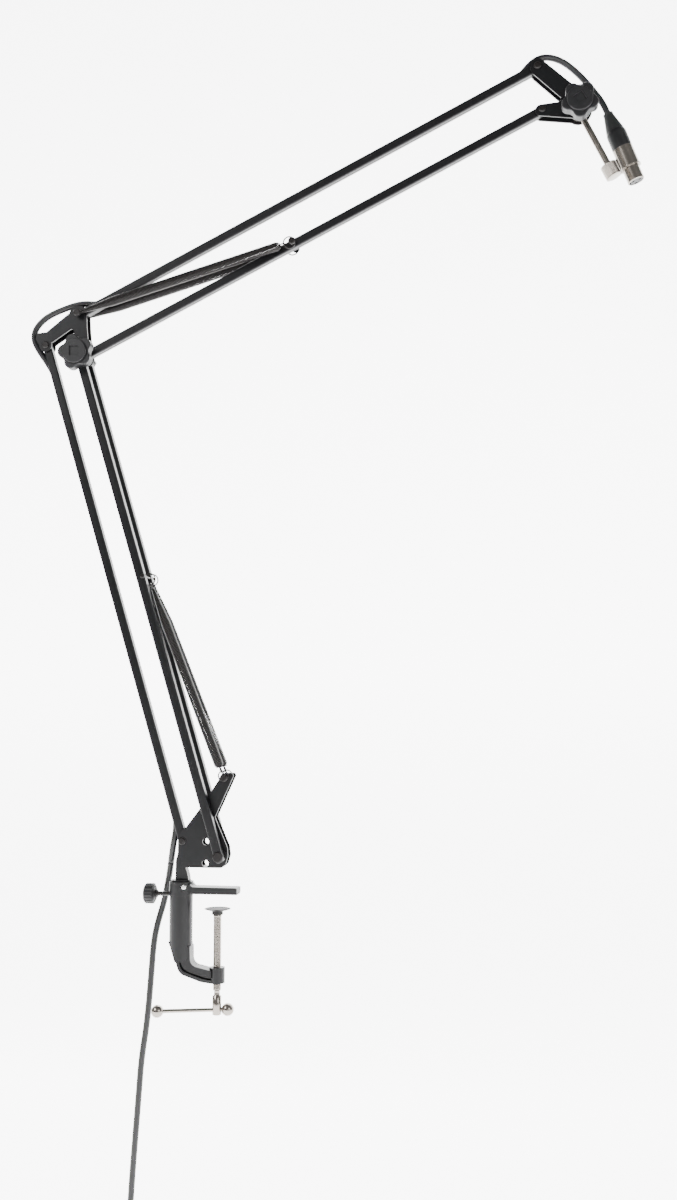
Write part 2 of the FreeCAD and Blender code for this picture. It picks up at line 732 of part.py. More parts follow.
def build_head():
    """Head bracket, kept level by both parallelograms; it carries the microphone rod."""
    rise = 1.6
    legs = [
        (24.6, 24.0), (0.6, 46.5), ((-5.4, 48.2), (-9.9, 43.6)), ((-10.4, 38.4), (-7.2, 32.3)), (17.7, 7.9),
        (17.6, 4.0), (-2.2, 2.4), ((-6.2, -1.4), (-4.6, -7.0)), (-2.9, -8.2), (27.6, -12.6),
        ((37.0, -14.4), (44.6, -8.4)), ((46.4, 1.6), (41.0, 9.0)),
    ]
    outline = [tuple((p[0], p[1] + rise) for p in corner) if isinstance(corner[0], tuple)
               else (corner[0], corner[1] + rise) for corner in legs]
    hollow = [(-30, -40), (70, -40), (70, 30), (23.4, 30), (22.0, 24.4), (6.6, 38.8), (8.6, 60), (-30, 60)]
    bracket("head_bracket", HEAD_LOW, outline, hollow,
            [(0, 0), (-mm("bar_step_x"), -mm("bar_step_z"))], [(mm("rod_pivot_x"), mm("rod_pivot_z"))])
    pair = [rivet("head_top_rivet", HEAD_TOP, "Sizes.bracket_width / 2 + 0.02"),
            rivet("head_low_rivet", HEAD_LOW, "Sizes.bracket_width / 2 + 0.02")]
    group("head_rivets", pair)


# ------------------------------------------------------------------ springs and their rings

def spring(name, start, end, eye_radius, eye_turn):
    """A close-wound tension spring: a tapered barrel, hollow, with a round eye at each end.

    start and end are the points where the two eyes' wires cross the spring's axis, and eye_turn turns
    each eye about it: 0 for an eye on a pin, 90 for one that links through a ring.
    """
    span = start.distanceToPoint(end)
    first, last = eye_radius
    wire = mm("wire_diameter")
    low, high = 2 * first + wire / 2 - 0.2, span - 2 * last - wire / 2 + 0.2
    tip, full = mm("spring_tip_diameter") / 2, mm("spring_diameter") / 2
    taper, wall = mm("spring_taper"), (mm("spring_diameter") - mm("spring_bore")) / 2
    body = new_body(name + "_coils")
    half = new_sketch(body, "XZ_Plane")
    draw(half, [
        (tip - wall, low), (tip, low), (full, low + taper), (full, high - 2.5), (full - 1.0, high),
        (full - 1.0 - wall, high), (full - wall, high - 2.5), (full - wall, low + taper),
    ])
    turned = body.newObject("PartDesign::Revolution", name + "_turn")
    turned.Profile = (half, [""])
    turned.ReferenceAxis = (half, ["V_Axis"])
    turned.Angle = 360
    turned_eye = [FreeCAD.Rotation(Z_AXIS, turn).multiply(FreeCAD.Rotation(X_AXIS, 90)) for turn in eye_turn]
    caps = [
        torus(name + "_eye_a", f"{first}", "Sizes.wire_diameter",
              FreeCAD.Placement(V(0, 0, first), turned_eye[0])),
        torus(name + "_eye_b", f"{last}", "Sizes.wire_diameter",
              FreeCAD.Placement(V(0, 0, span - last), turned_eye[1])),
        cylinder(name + "_end_a", f"{2 * tip - 0.4}", "1.2",
                 FreeCAD.Placement(V(0, 0, low), FreeCAD.Rotation())),
        cylinder(name + "_end_b", f"{2 * full - 2.4}", "1.2",
                 FreeCAD.Placement(V(0, 0, high - 1.2), FreeCAD.Rotation())),
    ]
    whole = join(name, [body] + caps)
    heading = end - start
    beside = heading.cross(Y_AXIS).normalize()
    square = heading.cross(beside).normalize()
    whole.Placement = FreeCAD.Placement(start, FreeCAD.Rotation(beside, square, heading, "ZXY"))
    return whole


def ring_beside(pin, toward, radius, pin_diameter):
    """Centre of a ring that hangs on a pin and is pulled toward a point in the arm plane."""
    slack = radius - mm("wire_diameter") / 2 - pin_diameter / 2 - 0.05
    return pin + (V(toward.x, 0, toward.z) - V(pin.x, 0, pin.z)).normalize() * slack


def rings(label, centre, y, radius):
    """A pair of split rings, one on each side of the arm plane."""
    pair = []
    for number, side in enumerate((-y, y)):
        where = FreeCAD.Placement(centre + V(0, side, 0), FreeCAD.Rotation(X_AXIS, 90))
        pair.append(torus(f"{label}_{number}", radius, "Sizes.wire_diameter", where))
    return group(label, pair)


LOWER_PIN_ALONG, LOWER_PIN_SIDE = 273.3, -2.6
UPPER_PIN_ALONG = 234.1
LOWER_SPRING_Y = (4.7, 8.2)
UPPER_SPRING_Y = 9.2


def build_springs():
    """Two springs beside the lower pair of tubes and two above the lower bar of the upper arm."""
    wire = mm("wire_diameter")
    pin = on_link(FRONT_FOOT, LOWER_ANGLE, LOWER_PIN_ALONG, LOWER_PIN_SIDE)
    tab = FRONT_FOOT + SPRING_TAB
    upper_centre = pin + V(3.38, 0, -2.24)
    lower_centre = ring_beside(tab, upper_centre, mm("small_ring_radius"), mm("pin_diameter"))
    rings("front_spring_rings", upper_centre, LOWER_SPRING_Y[0], "Sizes.ring_radius")
    rings("yoke_spring_rings", lower_centre, LOWER_SPRING_Y[1], "Sizes.small_ring_radius")
    axis = (lower_centre - upper_centre).normalize()
    start = upper_centre + axis * (mm("ring_radius") - wire - 0.05)
    end = lower_centre - axis * (mm("small_ring_radius") - wire - 0.05)
    pair = [spring(f"lower_spring_{n}", start + V(0, side * LOWER_SPRING_Y[0], 0),
                   end + V(0, side * LOWER_SPRING_Y[1], 0), (2.8, 2.5), (90, 90)) for n, side in enumerate((-1, 1))]
    group("lower_springs", pair)
    span = mm("pair_centre_y") + mm("tube_side") / 2
    keep("front_spring_pin", rivet("front_spring_pin", pin, f"{span + 0.02}",
                                   "Sizes.spring_pin_diameter", "Sizes.spring_pin_diameter + 2.6"))

    bar_pin = on_link(ELBOW, UPPER_ANGLE, UPPER_PIN_ALONG, 0)
    centre = ring_beside(bar_pin, BAR_FOOT, mm("ring_radius"), mm("pin_diameter"))
    rings("bar_spring_rings", centre, UPPER_SPRING_Y, "Sizes.ring_radius")
    axis = (centre - BAR_FOOT).normalize()
    eye = (mm("pin_diameter") + wire) / 2 + 0.05
    start = BAR_FOOT - axis * eye
    end = centre - axis * (mm("ring_radius") - wire - 0.05)
    pair = [spring(f"upper_spring_{n}", start + V(0, side * UPPER_SPRING_Y, 0),
                   end + V(0, side * UPPER_SPRING_Y, 0), (eye, 2.4), (0, 90)) for n, side in enumerate((-1, 1))]
    group("upper_springs", pair)
    keep("bar_spring_pin", rivet("bar_spring_pin", bar_pin, f"{SPRING_REACH + 1.4}"))


# ------------------------------------------------------------------ links

def build_links():
    """Four kinds of square tube between the yoke, the elbow and the head."""
    pin, bolt = "Sizes.pin_hole", "Sizes.bolt_hole"
    square_tube("rear_tube", REAR_FOOT, LOWER_ANGLE, "lower_length", 0, (pin, pin),
                slots=((3.4, 41.0), (455.0, 497.0)))
    half_pitch = mm("pair_centre_y")
    for label, y in (("front_tube_near", -half_pitch), ("front_tube_far", half_pitch)):
        square_tube(label, FRONT_FOOT, LOWER_ANGLE, "lower_length", y, (bolt, bolt),
                    cross_pins=((LOWER_PIN_ALONG, LOWER_PIN_SIDE, "Sizes.spring_pin_hole"),))
    square_tube("top_tube", BAR_FOOT, UPPER_ANGLE, "upper_length", 0, (pin, pin),
                slots=((5.0, 43.0), (456.0, 499.5)))
    square_tube("bottom_tube", ELBOW, UPPER_ANGLE, "upper_length", 0, (bolt, pin),
                cross_pins=((UPPER_PIN_ALONG, 0, pin),))


# ------------------------------------------------------------------ knobs and the microphone rod

def star_knob(label, place, lobe_turn, recess_turn, back, face):
    """Five-lobed knob, worked from -Y, with a raised round face and a plain square recess.

    lobe_turn and recess_turn are in degrees; back and face are the distances of its rear and front
    from the arm plane.
    """
    body = new_body(label)
    lobes, root, crest = 5, mm("knob_root_radius"), mm("knob_lobe_radius")
    lobe_radius = mm("knob_lobe_curve")
    lobe_out = crest - lobe_radius
    half_step = math.pi / lobes
    inset = root - lobe_radius
    hollow_out = (lobe_out ** 2 - inset ** 2) / (2 * lobe_out * math.cos(half_step) - 2 * inset)

    def spoke(radius, steps):
        turn = steps * half_step + math.radians(lobe_turn)
        return V(radius * math.cos(turn), radius * math.sin(turn), 0)

    def tangent_point(lobe, side):
        """Where a lobe's arc meets the hollow beside it."""
        centre = spoke(lobe_out, 2 * lobe)
        return centre + (spoke(hollow_out, 2 * lobe + side) - centre).normalize() * lobe_radius

    star = new_sketch(body, "XY_Plane")
    arcs = [tuple(tangent_point(0, -1))[:2]]
    for lobe in range(lobes):
        arcs.append((tuple(spoke(crest, 2 * lobe))[:2], tuple(tangent_point(lobe, 1))[:2]))
        arcs.append((tuple(spoke(root, 2 * lobe + 1))[:2], tuple(tangent_point(lobe + 1, -1))[:2]))
    star_end = arcs.pop()
    depth = face - back
    lobe_front = 2.2
    draw(star, arcs, closing=star_end)
    pad = extrude(body, "Pad", star, f"{depth - lobe_front}", both=False)
    doc.recompute()
    front_rim = [f"Edge{i}" for i, edge in enumerate(pad.Shape.Edges, start=1)
                 if all(abs(v.Point.z - (depth - lobe_front)) < 1e-6 for v in edge.Vertexes)]
    round_edges(body, pad, front_rim, "1.0")
    disc = new_sketch(body, "XY_Plane")
    circle(disc, 0, 0, "Sizes.knob_face_diameter")
    raised = extrude(body, "Pad", disc, f"{depth}", both=False)
    doc.recompute()
    rim = [f"Edge{i}" for i, edge in enumerate(raised.Shape.Edges, start=1)
           if all(abs(v.Point.z - depth) < 1e-6 for v in edge.Vertexes)]
    round_edges(body, raised, rim, "0.8")
    recess = new_sketch(body, "XY_Plane", depth)
    side = mm("knob_recess_side") / 2
    turn = math.radians(recess_turn)
    square = [(side * (i * math.cos(turn) - j * math.sin(turn)), side * (i * math.sin(turn) + j * math.cos(turn)))
              for i, j in ((-1, -1), (1, -1), (1, 1), (-1, 1))]
    draw(recess, square)
    extrude(body, "Pocket", recess, "Sizes.knob_recess_depth", both=False)
    bore = new_sketch(body, "XY_Plane")
    circle(bore, 0, 0, "Sizes.bolt_diameter + 0.04")
    into = extrude(body, "Pocket", bore, "7.0", both=False)
    into.Reversed = True
    body.Placement = across(place + V(0, -back, 0))
    return keep(label, body)


def bolt(label, place, front, rear, spacer=None):
    """Knob bolt along Y from the knob to a hexagon nut behind; front and rear are distances."""
    shank = cylinder(label + "_shank", "Sizes.bolt_diameter", f"{front + rear + 7.2}",
                     across(place + V(0, rear + 5.2, 0)))
    if spacer is None:
        return keep(label, shank)
    sleeve = cylinder(label + "_sleeve", "14", f"{spacer[1] - spacer[0]}",
                      across(place + V(0, -spacer[0], 0)))
    return keep(label, join(label, [shank, sleeve]))


def nut(label, place, rear):
    """Hexagon nut on the far end of a knob bolt."""
    hexagon = doc.addObject("Part::Prism", label + "_hexagon")
    hexagon.Polygon = 6
    hexagon.setExpression("Circumradius", "5.5 / cos(30)")
    hexagon.setExpression("Height", "4.6")
    hexagon.Placement = across(place + V(0, rear + 4.7, 0))
    hole = cylinder(label + "_hole", "Sizes.bolt_diameter + 0.04", "6", across(place + V(0, rear + 5.4, 0)))
    return keep(label, cut(label, hexagon, hole))


KNOB_BACK, KNOB_FACE = 16.1, 28.0


def build_knobs():
    outer = mm("pair_centre_y") + mm("tube_side") / 2
    star_knob("elbow_knob", ELBOW, 33, 0, KNOB_BACK, KNOB_FACE)
    bolt("elbow_bolt", ELBOW, KNOB_BACK, outer)
    nut("elbow_nut", ELBOW, outer)
    plate = mm("bracket_width") / 2
    star_knob("head_knob", ROD_PIVOT, -17, 30, KNOB_BACK, KNOB_FACE)
    bolt("head_bolt", ROD_PIVOT, KNOB_BACK, plate, (plate + 0.1, KNOB_BACK - 0.05))
    nut("head_nut", ROD_PIVOT, plate)


def build_rod():
    """Microphone rod: an eye on the head bolt, a round rod and the threaded stud at its end."""
    eye = cylinder("rod_eye", "Sizes.eye_diameter", "Sizes.eye_thickness",
                   across(V(0, mm("eye_thickness") / 2, 0)))
    shaft = cylinder("rod_shaft", "Sizes.rod_diameter", "Sizes.rod_length + 4",
                     FreeCAD.Placement(V(0, 0, 0), FreeCAD.Rotation(X_AXIS, 180)))
    hole = cylinder("rod_hole", "Sizes.bolt_hole", "20", across(V(0, 10, 0)))
    rod = cut("mic_rod", join("rod_blank", [eye, shaft]), hole)
    swing = FreeCAD.Rotation(Y_AXIS, -mm("rod_angle"))
    rod.Placement = FreeCAD.Placement(ROD_PIVOT, swing)
    keep("mic_rod", rod)

    blank = stack("stud_blank", [
        ("Sizes.stud_diameter", None, "Sizes.stud_length - 0.6"),
        ("Sizes.stud_diameter", "Sizes.stud_diameter - 1.2", "0.6"),
    ])
    bore = cylinder("stud_bore", "Sizes.stud_bore", "8",
                    FreeCAD.Placement(V(0, 0, mm("stud_length") - 7.5), FreeCAD.Rotation()))
    seat = cylinder("stud_seat", "Sizes.rod_diameter + 0.02", "5",
                    FreeCAD.Placement(V(0, 0, -0.5), FreeCAD.Rotation()))
    stud = cut("mic_stud", blank, join("stud_cuts", [bore, seat]))
    down = swing.multiply(FreeCAD.Rotation(X_AXIS, 180))
    stud.Placement = FreeCAD.Placement(ROD_PIVOT + down.multVec(V(0, 0, mm("rod_length"))), down)
    keep("mic_stud", stud)

    discs = []
    for side in (-1, 1):
        start = mm("eye_thickness") / 2 + 0.06
        y = start if side > 0 else -start - mm("friction_disc_thickness")
        where = FreeCAD.Placement(ROD_PIVOT + V(0, y, 0), FreeCAD.Rotation(X_AXIS, -90))
        disc = cylinder(f"friction_disc{side + 1}", "Sizes.eye_diameter - 2", "Sizes.friction_disc_thickness", where)
        hole = cylinder(f"friction_hole{side + 1}", "Sizes.bolt_hole + 0.1", "Sizes.friction_disc_thickness", where)
        discs.append(cut(f"friction_ring{side + 1}", disc, hole))
    group("rod_washers", discs)


# ------------------------------------------------------------------ cable and connectors

JACK_START = V(371.6, 19.5, 738.7)
JACK_AIM = V(0.350, 0, -0.937)
PLUG_AIM = V(0, 0, -1)
CABLE_Y = 18.0
COIL_CENTRE = V(-87.0, CABLE_Y, -349.0)

HEAD_LOOP = [
    xyz(on_link(BAR_FOOT, UPPER_ANGLE, 452, 0)),
    xyz(on_link(BAR_FOOT, UPPER_ANGLE, 470, 0)),
    (290.6, 0, 774.2), (298.0, 0, 783.2), (306.8, 1, 789.6), (317.0, 3.5, 791.2), (328.4, 7.5, 788.6),
    (338.5, 11.5, 782.4), (348.6, 15, 773.4), (357.8, 17.8, 762.4),
    xyz(JACK_START - JACK_AIM * 12, 19.5), xyz(JACK_START, 19.5),
]

ELBOW_LOOP = [
    xyz(on_link(BAR_FOOT, UPPER_ANGLE, 48, 0)),
    xyz(on_link(BAR_FOOT, UPPER_ANGLE, 33, 0)),
    (-127.2, 0, 569.6), (-139.0, 0, 571.2), (-149.5, 0, 569.9), (-159.6, 0, 566.8), (-169.6, 0, 563.2),
    (-178.6, 0, 558.8), (-186.0, 0, 552.6), (-190.9, 0, 545.0), (-191.2, 0, 536.4), (-187.2, 0, 528.0),
    (-181.4, 0, 519.4), (-175.0, 0, 510.4),
    xyz(on_link(REAR_FOOT, LOWER_ANGLE, 466, 0)),
    xyz(on_link(REAR_FOOT, LOWER_ANGLE, 450, 0)),
]

TAIL_JOINT = (-46.9, 6, 28.0)

TAIL_TOP = [
    xyz(on_link(REAR_FOOT, LOWER_ANGLE, 46, 0)),
    xyz(on_link(REAR_FOOT, LOWER_ANGLE, 30, 0)),
    (-40.2, 0, 60.2), (-43.6, 0.4, 43.4), TAIL_JOINT,
]

TAIL = [
    (-46.92, 6.034, 27.9), (-48.88, 9.36, 18.76), (-52.4, 14.8, 6.6), (-56.4, 18, -10.3),
    (-62.4, 18, -29.5), (-66.5, 18, -48.3),
    (-69.0, 18, -86.6), (-72.1, 18, -124.8), (-77.2, 18, -158.2), (-79.3, 18, -190.5), (-82.6, 18, -236.4),
    (-85.0, 18, -272.0), (-87.0, 18, -306.4),
]


def boot(name, start, aim):
    """Rubber boot, thin where the cable enters it, bored for the cable's end."""
    blank = stack(name + "_blank", [
        ("Sizes.boot_tip_diameter", None, "2.2"),
        ("Sizes.boot_tip_diameter", "Sizes.boot_diameter", "Sizes.boot_length - 3.4"),
        ("Sizes.boot_diameter", None, "1.2"),
    ])
    blank.Placement = FreeCAD.Placement(start, FreeCAD.Rotation(Z_AXIS, aim))
    return keep(name, blank)


def sleeve(name, start, aim):
    """Black collar between a connector's boot and its metal shell."""
    piece = stack(name, [
        ("Sizes.boot_diameter + 0.2", "Sizes.shell_diameter", "3.0"),
        ("Sizes.shell_diameter", None, "Sizes.collar_length - 3"),
    ])
    piece.Placement = FreeCAD.Placement(start, FreeCAD.Rotation(Z_AXIS, aim))
    return keep(name, piece)


def contacts(radius, depth, name, start, aim, diameter):
    """Three round contacts, or the holes for them, in the standard triangle."""
    rotation = FreeCAD.Rotation(Z_AXIS, aim)
    pins = []
    for number, angle in enumerate((90, 210, 330)):
        turn = math.radians(angle)
        place = start + rotation.multVec(V(radius * math.cos(turn), radius * math.sin(turn), 0))
        pins.append(cylinder(f"{name}_{number}", diameter, depth, FreeCAD.Placement(place, rotation)))
    return pins


def build_connectors():
    """Female three-pin connector on the head's cable loop and male one on the cable's far end."""
    aim = JACK_AIM
    boot("jack_boot", JACK_START, aim)
    collar_at = JACK_START + aim * (mm("boot_length"))
    sleeve("jack_collar", collar_at, aim)
    shell_at = collar_at + aim * mm("collar_length")
    rotation = FreeCAD.Rotation(Z_AXIS, aim)
    blank = stack("jack_shell_blank", [
        ("Sizes.shell_diameter", None, "Sizes.jack_shell_length - Sizes.jack_lip_length"),
        ("Sizes.jack_lip_diameter", None, "Sizes.jack_lip_length"),
        ("Sizes.jack_nose_diameter", None, "Sizes.jack_nose_length - 0.5"),
        ("Sizes.jack_nose_diameter", "Sizes.jack_nose_diameter - 1", "0.5"),
    ])
    hollow = cylinder("jack_hollow", "Sizes.jack_nose_diameter - 2.2", "60",
                      FreeCAD.Placement(V(0, 0, 2), FreeCAD.Rotation()))
    slot = doc.addObject("Part::Box", "jack_latch_slot")
    slot.setExpression("Length", "4.0")
    slot.setExpression("Width", "5.4")
    slot.setExpression("Height", "12.4")
    slot.Placement = FreeCAD.Placement(V(6.2, -2.7, 6.8), FreeCAD.Rotation())
    shell = cut("jack_shell", blank, join("jack_cuts", [hollow, slot]))
    shell.Placement = FreeCAD.Placement(shell_at, rotation)
    keep("jack_shell", shell)

    core = cylinder("jack_core", "Sizes.jack_nose_diameter - 2.3", "Sizes.jack_shell_length + 12",
                    FreeCAD.Placement(V(0, 0, 2.1), FreeCAD.Rotation()))
    flat = doc.addObject("Part::Box", "jack_flat")
    flat.setExpression("Length", "4")
    flat.setExpression("Width", "7")
    flat.setExpression("Height", "60")
    flat.Placement = FreeCAD.Placement(V(5.4, -3.5, 0), FreeCAD.Rotation())
    sockets = contacts(3.9, "20", "jack_socket", V(0, 0, 24), Z_AXIS, "2.6")
    insert = cut("jack_insert", core, join("jack_core_cuts", [flat] + sockets))
    insert.Placement = FreeCAD.Placement(shell_at, rotation)
    keep("jack_insert", insert)

    latch = doc.addObject("Part::Box", "latch_block")
    latch.setExpression("Length", "4.4")
    latch.setExpression("Width", "5.0")
    latch.setExpression("Height", "9.2")
    latch.Placement = FreeCAD.Placement(shell_at + rotation.multVec(V(6.6, -2.5, 8.4)), rotation)
    edge = doc.addObject("Part::Chamfer", "jack_latch_thumb")
    edge.Base = latch
    doc.recompute()
    outer_edges = []
    for number, item in enumerate(latch.Shape.Edges, start=1):
        local = [rotation.inverted().multVec(v.Point - shell_at) for v in item.Vertexes]
        if all(abs(p.x - 11.0) < 1e-6 for p in local):
            outer_edges.append((number, 0.8, 0.8))
    edge.Edges = outer_edges
    keep("jack_latch", edge)

    plug_at = COIL_CENTRE + V(-mm("coil_radius") - 2.4, 0, -44.0)
    boot("plug_boot", plug_at, PLUG_AIM)
    collar_at = plug_at + PLUG_AIM * mm("boot_length")
    down = FreeCAD.Rotation(Z_AXIS, PLUG_AIM)
    body = stack("plug_shell_blank", [
        ("Sizes.boot_diameter + 0.2", "Sizes.shell_diameter", "3.0"),
        ("Sizes.shell_diameter", None, "Sizes.collar_length + Sizes.plug_shell_length - 4"),
        ("Sizes.shell_diameter", "Sizes.shell_diameter - 1", "0.6"),
    ])
    hollow = cylinder("plug_hollow", "Sizes.jack_nose_diameter + 0.4", "40",
                      FreeCAD.Placement(V(0, 0, mm("collar_length") + 7), FreeCAD.Rotation()))
    shell = cut("plug_shell", body, hollow)
    shell.Placement = FreeCAD.Placement(collar_at, down)
    keep("plug_shell", shell)
    base = cylinder("plug_base", "Sizes.jack_nose_diameter + 0.2", "2.4",
                    FreeCAD.Placement(V(0, 0, mm("collar_length") + 7.1), FreeCAD.Rotation()))
    pins = contacts(3.9, "13", "plug_pin", V(0, 0, mm("collar_length") + 8), Z_AXIS, "2.4")
    insert = join("plug_contacts", [base] + pins)
    insert.Placement = FreeCAD.Placement(collar_at, down)
    keep("plug_contacts", insert)


def build_cables():
    """The cable's exposed runs, its hidden runs inside two tubes, and the coil of its spare length."""
    cable("cable_head_loop", HEAD_LOOP)
    cable("cable_elbow_loop", ELBOW_LOOP)
    cable("cable_tail_top", TAIL_TOP)
    cable("cable_tail", TAIL)
    for label, foot, angle, low, high in (
        ("cable_in_rear_tube", REAR_FOOT, LOWER_ANGLE, 46.1, 449.9),
        ("cable_in_top_tube", BAR_FOOT, UPPER_ANGLE, 48.1, 451.9),
    ):
        start = on_link(foot, angle, low, 0)
        piece = cylinder(label, "Sizes.cable_diameter", f"{high - low}",
                         FreeCAD.Placement(start, FreeCAD.Rotation(Z_AXIS, polar(1, angle))))
        keep(label, piece)

    flat = FreeCAD.Rotation(X_AXIS, 90)
    bundle = torus("coil_bundle", "Sizes.coil_radius", "2 * Sizes.coil_bundle_radius",
                   FreeCAD.Placement(COIL_CENTRE, flat))
    stub_at = COIL_CENTRE + V(-mm("coil_radius") - 2.4, 0, -10.0)
    stub = cylinder("coil_stub", "Sizes.cable_diameter", "33.9",
                    FreeCAD.Placement(stub_at, FreeCAD.Rotation(Z_AXIS, PLUG_AIM)))
    keep("cable_coil", join("cable_coil", [bundle, stub]))

    tie = new_body("coil_tie")
    band = new_sketch(tie, "XZ_Plane")
    circle(band, mm("coil_radius"), 0, "2 * Sizes.coil_bundle_radius + 2.6")
    circle(band, mm("coil_radius"), 0, "2 * Sizes.coil_bundle_radius + 0.1")
    wrap = tie.newObject("PartDesign::Revolution", "coil_tie_wrap")
    wrap.Profile = (band, [""])
    wrap.ReferenceAxis = (band, ["V_Axis"])
    wrap.Angle = 24
    tie.Placement = FreeCAD.Placement(COIL_CENTRE, flat.multiply(FreeCAD.Rotation(Z_AXIS, -12)))
    keep("coil_tie", tie)


# ------------------------------------------------------------------ build, check and write

def check_and_write():
    doc.recompute()
    for thing in doc.Objects:
        broken = [state for state in thing.State if state in ("Invalid", "Error")]
        if broken:
            raise RuntimeError(f"{thing.Label}: {broken}")
    labels = [thing.Label for thing in nodes]
    if len(set(labels)) != len(labels):
        raise RuntimeError("two sub-parts share a name")
    os.makedirs("parts", exist_ok=True)
    for thing in nodes:
        shape = thing.Shape
        if shape.isNull() or not shape.isValid() or not shape.Solids:
            raise RuntimeError(f"{thing.Label}: bad shape")
        shape.exportStep(os.path.join("parts", thing.Label + ".step"))
    print("nodes", len(nodes), "solids", sum(len(thing.Shape.Solids) for thing in nodes))


build_clamp()
build_lock()
build_screw()
build_yoke()
build_links()
build_elbow()
build_head()
build_springs()
build_knobs()
build_rod()
build_connectors()
build_cables()
check_and_write()
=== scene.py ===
"""Looks of the desk-clamp microphone arm: finishes, wound springs, threads and the cable, in metres."""

import json
import math

import bpy
from mathutils import Matrix, Vector


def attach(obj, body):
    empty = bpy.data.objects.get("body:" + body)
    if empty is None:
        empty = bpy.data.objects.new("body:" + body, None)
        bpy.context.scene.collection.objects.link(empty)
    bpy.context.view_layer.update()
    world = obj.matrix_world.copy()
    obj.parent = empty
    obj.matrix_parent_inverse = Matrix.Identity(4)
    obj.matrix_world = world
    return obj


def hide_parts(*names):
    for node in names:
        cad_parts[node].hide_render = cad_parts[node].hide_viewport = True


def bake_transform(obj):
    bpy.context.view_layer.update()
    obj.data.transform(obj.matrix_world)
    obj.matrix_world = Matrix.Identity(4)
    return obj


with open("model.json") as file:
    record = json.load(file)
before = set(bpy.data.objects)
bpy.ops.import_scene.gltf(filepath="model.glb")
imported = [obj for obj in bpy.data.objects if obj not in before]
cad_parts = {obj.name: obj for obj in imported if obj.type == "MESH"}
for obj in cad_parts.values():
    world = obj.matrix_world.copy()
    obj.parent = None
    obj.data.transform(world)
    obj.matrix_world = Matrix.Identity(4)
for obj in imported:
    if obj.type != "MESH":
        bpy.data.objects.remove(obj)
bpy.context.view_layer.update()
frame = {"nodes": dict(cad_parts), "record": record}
record = frame["record"]
nodes = frame["nodes"]


# ------------------------------------------------------------------ finishes

def finish_material(name, colour, rough, metallic=0.0, grain=0.0, grain_scale=900.0, shine=0.5):
    """A procedural finish: base colour, roughness that varies a little, and a fine surface grain."""
    material = bpy.data.materials.new(name)
    material.use_nodes = True
    tree = material.node_tree
    shader = tree.nodes["Principled BSDF"]
    shader.inputs["Base Color"].default_value = (*colour, 1)
    shader.inputs["Metallic"].default_value = metallic
    shader.inputs["Specular IOR Level"].default_value = shine
    place = tree.nodes.new("ShaderNodeTexCoord")
    noise = tree.nodes.new("ShaderNodeTexNoise")
    noise.inputs["Scale"].default_value = 60.0
    noise.inputs["Detail"].default_value = 4.0
    tree.links.new(place.outputs["Object"], noise.inputs["Vector"])
    spread_map = tree.nodes.new("ShaderNodeMapRange")
    spread_map.inputs["To Min"].default_value = rough - 0.06
    spread_map.inputs["To Max"].default_value = rough + 0.06
    tree.links.new(noise.outputs["Fac"], spread_map.inputs["Value"])
    tree.links.new(spread_map.outputs["Result"], shader.inputs["Roughness"])
    soft_edge = tree.nodes.new("ShaderNodeBevel")
    soft_edge.samples = 4
    soft_edge.inputs["Radius"].default_value = 0.0004
    if grain:
        fine = tree.nodes.new("ShaderNodeTexNoise")
        fine.inputs["Scale"].default_value = grain_scale
        fine.inputs["Detail"].default_value = 2.0
        tree.links.new(place.outputs["Object"], fine.inputs["Vector"])
        bump = tree.nodes.new("ShaderNodeBump")
        bump.inputs["Strength"].default_value = grain
        bump.inputs["Distance"].default_value = 0.0002
        tree.links.new(fine.outputs["Fac"], bump.inputs["Height"])
        tree.links.new(soft_edge.outputs["Normal"], bump.inputs["Normal"])
        tree.links.new(bump.outputs["Normal"], shader.inputs["Normal"])
    else:
        tree.links.new(soft_edge.outputs["Normal"], shader.inputs["Normal"])
    return material


FINISH = {
    "black_paint": finish_material("paint", (0.0028, 0.0028, 0.0032),
                                  0.32, grain=0.08, grain_scale=1500, shine=0.24),
    "black_cast": finish_material("cast", (0.003, 0.003, 0.0034),
                                  0.38, grain=0.25, grain_scale=900, shine=0.24),
    "black_zinc": finish_material("zinc", (0.007, 0.006, 0.0058), 0.33, metallic=0.3, shine=0.28),
    "bright_steel": finish_material("bright", (0.72, 0.71, 0.7), 0.2, metallic=1.0),
    "nickel": finish_material("nickel", (0.23, 0.208, 0.185), 0.24, metallic=1.0, grain=0.03),
    "black_plastic": finish_material("plastic", (0.0035, 0.0035, 0.004),
                                  0.45, grain=0.2, grain_scale=1400, shine=0.3),
    "nylon": finish_material("nylon", (0.004, 0.004, 0.004), 0.5, shine=0.25),
    "rubber": finish_material("rubber", (0.006, 0.0065, 0.0065), 0.6, grain=0.2, grain_scale=1100, shine=0.3),
    "cable_jacket": finish_material("jacket", (0.003, 0.003, 0.0036), 0.4, shine=0.3),
    "brass": finish_material("brass", (0.7, 0.5, 0.22), 0.3, metallic=1.0),
}
SLOT = {part["node"]: part["material_slot"] for part in record["subparts"]}


def dress(piece, slot):
    piece.data.materials.clear()
    piece.data.materials.append(FINISH[slot])


for node, piece in nodes.items():
    dress(piece, SLOT[node])


# ------------------------------------------------------------------ mesh makers

def add_mesh(name, points, faces, slot, smooth=True):
    data = bpy.data.meshes.new(name)
    data.from_pydata([tuple(p) for p in points], [], faces)
    data.update()
    data.polygons.foreach_set("use_smooth", [smooth] * len(data.polygons))
    piece = bpy.data.objects.new(name, data)
    bpy.context.scene.collection.objects.link(piece)
    dress(piece, slot)
    return piece


